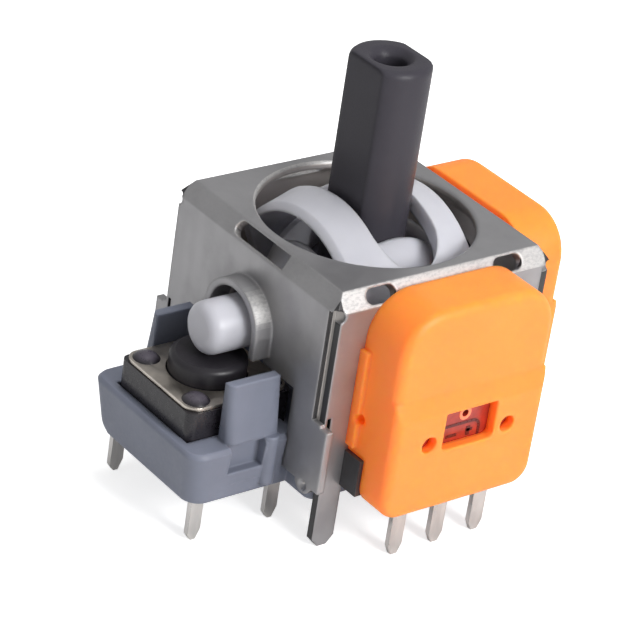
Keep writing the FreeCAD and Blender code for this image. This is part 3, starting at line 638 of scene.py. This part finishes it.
def board_lines():
    """Printed lines of one sensor board, in the mesh's XZ plane."""
    width = sizes().trace_width
    rise = sizes().trace_rise
    top = 4.52 * mm
    corner = 0.42 * mm
    left = -1.9 * mm
    right = 1.10 * mm
    bottom = 3.2 * mm
    path = [(left, top), (right - corner, top)]
    path += arc_points((right - corner, top - corner), corner, 90, 0)[1:]
    path += [(right, bottom)]
    lines = bmesh.new()
    ribbon(lines, path, width, rise)
    short_bar = [(-0.9 * mm, 3.95 * mm), (-0.25 * mm, 3.95 * mm)]
    tee_stem = [(0.45 * mm, 3.75 * mm), (0.45 * mm, 4.25 * mm)]
    tee_bar = [(0.30 * mm, 4.05 * mm), (0.72 * mm, 4.05 * mm)]
    ribbon(lines, short_bar, width, rise)
    ribbon(lines, tee_stem, width * 1.4, rise)
    ribbon(lines, tee_bar, width, rise)
    return lines


def board_ring():
    """Ring about the board's hole."""
    s = sizes()
    ring = bmesh.new()
    ring_face(ring, Vector((0.1 * mm, 0, 5.05 * mm)), s.ring_outer, s.ring_inner, s.trace_rise)
    return ring


class THUMBSTICK_OT_boards(bpy.types.Operator):
    """Red sensor boards with their printed lines, rings and chips"""

    bl_idname = "thumbstick.boards"
    bl_label = "Sensor boards"

    def execute(self, context):
        dress(["sensor_a_board", "sensor_b_board"], coated_board(), sizes().steel_edge)
        chip = moulded("chip_plastic", colours().black, 0.45)
        dress(["sensor_a_chip", "sensor_b_chip"], chip.material, sizes().steel_edge)
        line = moulded("trace_mask", colours().trace, 0.3)
        copper = moulded("ring_mask", tuple(colours().ring), 0.3)
        low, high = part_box("sensor_a_board")
        for side, angle in (("a", 0), ("b", 90)):
            turn = Matrix.Rotation(math.radians(angle), 4, "Z") @ Matrix.Translation((0, low.y, 0))
            for piece, mesh, finish in (("_lines", board_lines(), line), ("_ring", board_ring(), copper)):
                finished_piece("sensor_" + side + piece, mesh, finish.material, "housing", turn)
        return {"FINISHED"}


class THUMBSTICK_OT_terminals(bpy.types.Operator):
    """Tinned terminals of the sensors and of the switch"""

    bl_idname = "thumbstick.terminals"
    bl_label = "Terminals"

    def execute(self, context):
        tin = plated("tinned_brass", tuple(colours().tin), 0.30)
        dress(["sensor_a_terminals", "sensor_b_terminals", "switch_pins"], tin, sizes().steel_edge)
        return {"FINISHED"}


def camera_axes():
    """Right, up and back vectors of the camera."""
    s = stage_settings()
    back = Vector((
        math.sin(s.azimuth) * math.cos(s.elevation),
        -math.cos(s.azimuth) * math.cos(s.elevation),
        math.sin(s.elevation),
    ))
    level = Vector((math.cos(s.azimuth), math.sin(s.azimuth), 0.0))
    upright = back.cross(level)
    right = level * math.cos(s.roll) + upright * math.sin(s.roll)
    up = upright * math.cos(s.roll) - level * math.sin(s.roll)
    return right, up, back


def add_camera():
    s = stage_settings()
    right, up, back = camera_axes()
    aim = Vector((0, 0, top_height)) + right * s.aim_across + up * s.aim_up
    data = bpy.data.cameras.new("camera")
    data.sensor_width = sensor_width
    data.lens = sensor_width * s.focal_pixels / image_pixels
    data.clip_start = s.distance * 0.1
    data.clip_end = s.distance * 100
    camera = bpy.data.objects.new("camera", data)
    facing = Matrix((right, up, back)).transposed().to_4x4()
    camera.matrix_world = Matrix.Translation(aim + back * s.distance) @ facing
    bpy.context.scene.collection.objects.link(camera)
    bpy.context.scene.camera = camera


def add_lamp(name, direction, distance, size, power, mirrored=True):
    """A disc lamp aimed at the middle of the part. One that isn't mirrored gives no reflections."""
    data = bpy.data.lights.new(name, "AREA")
    data.shape = "DISK"
    data.size = size
    data.energy = power
    lamp = bpy.data.objects.new(name, data)
    lamp.visible_glossy = mirrored
    target = Vector((0, 0, top_height / 2))
    lamp.location = target + direction.normalized() * distance
    lamp.rotation_mode = "QUATERNION"
    lamp.rotation_quaternion = direction.to_track_quat("Z", "Y")
    bpy.context.scene.collection.objects.link(lamp)


def add_sky():
    """White to the camera, an even grey in reflections, and brighter from one side for the light itself."""
    s = stage_settings()
    world = bpy.data.worlds.new("sky")
    world.use_nodes = True
    nodes = world.node_tree.nodes
    links = world.node_tree.links
    nodes.clear()
    output = nodes.new("ShaderNodeOutputWorld")
    light = nodes.new("ShaderNodeBackground")
    direction = nodes.new("ShaderNodeTexCoord")
    towards = nodes.new("ShaderNodeVectorMath")
    towards.operation = "DOT_PRODUCT"
    towards.inputs[1].default_value = (0.55, -0.75, 0.35)
    brighter = nodes.new("ShaderNodeMapRange")
    brighter.inputs["From Min"].default_value = -1.0
    brighter.inputs["To Min"].default_value = s.sky * 0.40
    brighter.inputs["To Max"].default_value = s.sky * 1.50
    links.new(direction.outputs["Generated"], towards.inputs[0])
    links.new(towards.outputs["Value"], brighter.inputs["Value"])
    links.new(brighter.outputs[0], light.inputs["Strength"])
    shown = nodes.new("ShaderNodeBackground")
    shown.inputs["Strength"].default_value = 1.0
    rays = nodes.new("ShaderNodeLightPath")
    reflected = nodes.new("ShaderNodeBackground")
    reflected.inputs["Strength"].default_value = s.reflected_sky
    seen = nodes.new("ShaderNodeMixShader")
    links.new(rays.outputs["Is Glossy Ray"], seen.inputs[0])
    links.new(light.outputs[0], seen.inputs[1])
    links.new(reflected.outputs[0], seen.inputs[2])
    mixed = nodes.new("ShaderNodeMixShader")
    links.new(rays.outputs["Is Camera Ray"], mixed.inputs[0])
    links.new(seen.outputs[0], mixed.inputs[1])
    links.new(shown.outputs[0], mixed.inputs[2])
    links.new(mixed.outputs[0], output.inputs[0])
    bpy.context.scene.world = world


def floor_paper():
    """White paper that shows as white and still takes the soft shadow."""
    finish = Finish("floor_paper", 0.9)
    fibre = finish.grain(1.5 * mm, 3.0)
    mottled = finish.above(fibre, 0.3, 0.7)
    finish.set("Base Color", finish.mix(mottled, (0.80, 0.80, 0.80), (0.82, 0.82, 0.82)))
    finish.set("Specular IOR Level", 0.1)
    finish.bump(fibre, 0.2, 0.01 * mm)
    nodes = finish.nodes
    glow = nodes.new("ShaderNodeEmission")
    glow.inputs["Color"].default_value = (1.0, 1.0, 1.0, 1.0)
    rays = nodes.new("ShaderNodeLightPath")
    shown = finish.math("MULTIPLY", rays.outputs["Is Camera Ray"], 0.70)
    mirrored = finish.math("MULTIPLY", rays.outputs["Is Glossy Ray"], 0.10)
    finish.links.new(finish.math("ADD", shown, mirrored), glow.inputs["Strength"])
    both = nodes.new("ShaderNodeAddShader")
    output = next(node for node in nodes if node.type == "OUTPUT_MATERIAL")
    finish.links.new(finish.shader.outputs[0], both.inputs[0])
    finish.links.new(glow.outputs[0], both.inputs[1])
    finish.links.new(both.outputs[0], output.inputs[0])
    return finish.material


class THUMBSTICK_OT_stage(bpy.types.Operator):
    """White floor, soft lamps and the camera"""

    bl_idname = "thumbstick.stage"
    bl_label = "Studio stage"

    def execute(self, context):
        s = stage_settings()
        half = 0.6
        data = bpy.data.meshes.new("floor")
        turns = ((-1, -1), (1, -1), (1, 1), (-1, 1))
        corners = [(x * half, y * half, floor_height) for x, y in turns]
        data.from_pydata(corners, [], [(0, 1, 2, 3)])
        data.materials.append(floor_paper())
        floor = bpy.data.objects.new("floor", data)
        context.scene.collection.objects.link(floor)
        right, up, back = camera_axes()
        add_lamp("key_lamp", Vector((0.12, -1.0, 0.62)), 0.14, 0.06, s.key_power)
        add_lamp("fill_lamp", -right * 1.0 + up * 0.35 + back * 0.8, 0.16, 0.12, s.fill_power, False)
        add_lamp("top_lamp", Vector((0.12, 0.1, 1.0)), 0.15, 0.07, s.top_power, False)
        add_sky()
        add_camera()
        context.scene.view_settings.view_transform = "Standard"
        return {"FINISHED"}


class THUMBSTICK_PT_panel(bpy.types.Panel):
    bl_label = "Thumbstick"
    bl_idname = "THUMBSTICK_PT_panel"
    bl_space_type = "VIEW_3D"
    bl_region_type = "UI"
    bl_category = "Thumbstick"

    def draw(self, context):
        for operator in operators:
            self.layout.operator(operator.bl_idname)
        for group in (colours(), sizes(), stage_settings()):
            box = self.layout.box()
            for name in group.__annotations__:
                box.prop(group, name)


operators = (
    THUMBSTICK_OT_stage,
    THUMBSTICK_OT_frame,
    THUMBSTICK_OT_base,
    THUMBSTICK_OT_stem,
    THUMBSTICK_OT_yokes,
    THUMBSTICK_OT_return_spring,
    THUMBSTICK_OT_switch,
    THUMBSTICK_OT_covers,
    THUMBSTICK_OT_carriers,
    THUMBSTICK_OT_boards,
    THUMBSTICK_OT_terminals,
)
groups = (ThumbstickColours, ThumbstickSizes, ThumbstickStage)


def register():
    for kind in (*groups, *operators, THUMBSTICK_PT_panel):
        bpy.utils.register_class(kind)
    bpy.types.Scene.thumbstick_colours = PointerProperty(type=ThumbstickColours)
    bpy.types.Scene.thumbstick_sizes = PointerProperty(type=ThumbstickSizes)
    bpy.types.Scene.thumbstick_stage = PointerProperty(type=ThumbstickStage)


def unregister():
    del bpy.types.Scene.thumbstick_stage
    del bpy.types.Scene.thumbstick_sizes
    del bpy.types.Scene.thumbstick_colours
    for kind in reversed((*groups, *operators, THUMBSTICK_PT_panel)):
        bpy.utils.unregister_class(kind)


def main():
    register()
    bpy.ops.thumbstick.stage()
    bpy.ops.thumbstick.frame()
    bpy.ops.thumbstick.base()
    bpy.ops.thumbstick.stem()
    bpy.ops.thumbstick.yokes()
    bpy.ops.thumbstick.return_spring()
    bpy.ops.thumbstick.switch()
    bpy.ops.thumbstick.covers()
    bpy.ops.thumbstick.carriers()
    bpy.ops.thumbstick.boards()
    bpy.ops.thumbstick.terminals()


if __name__ == "__main__":
    main()
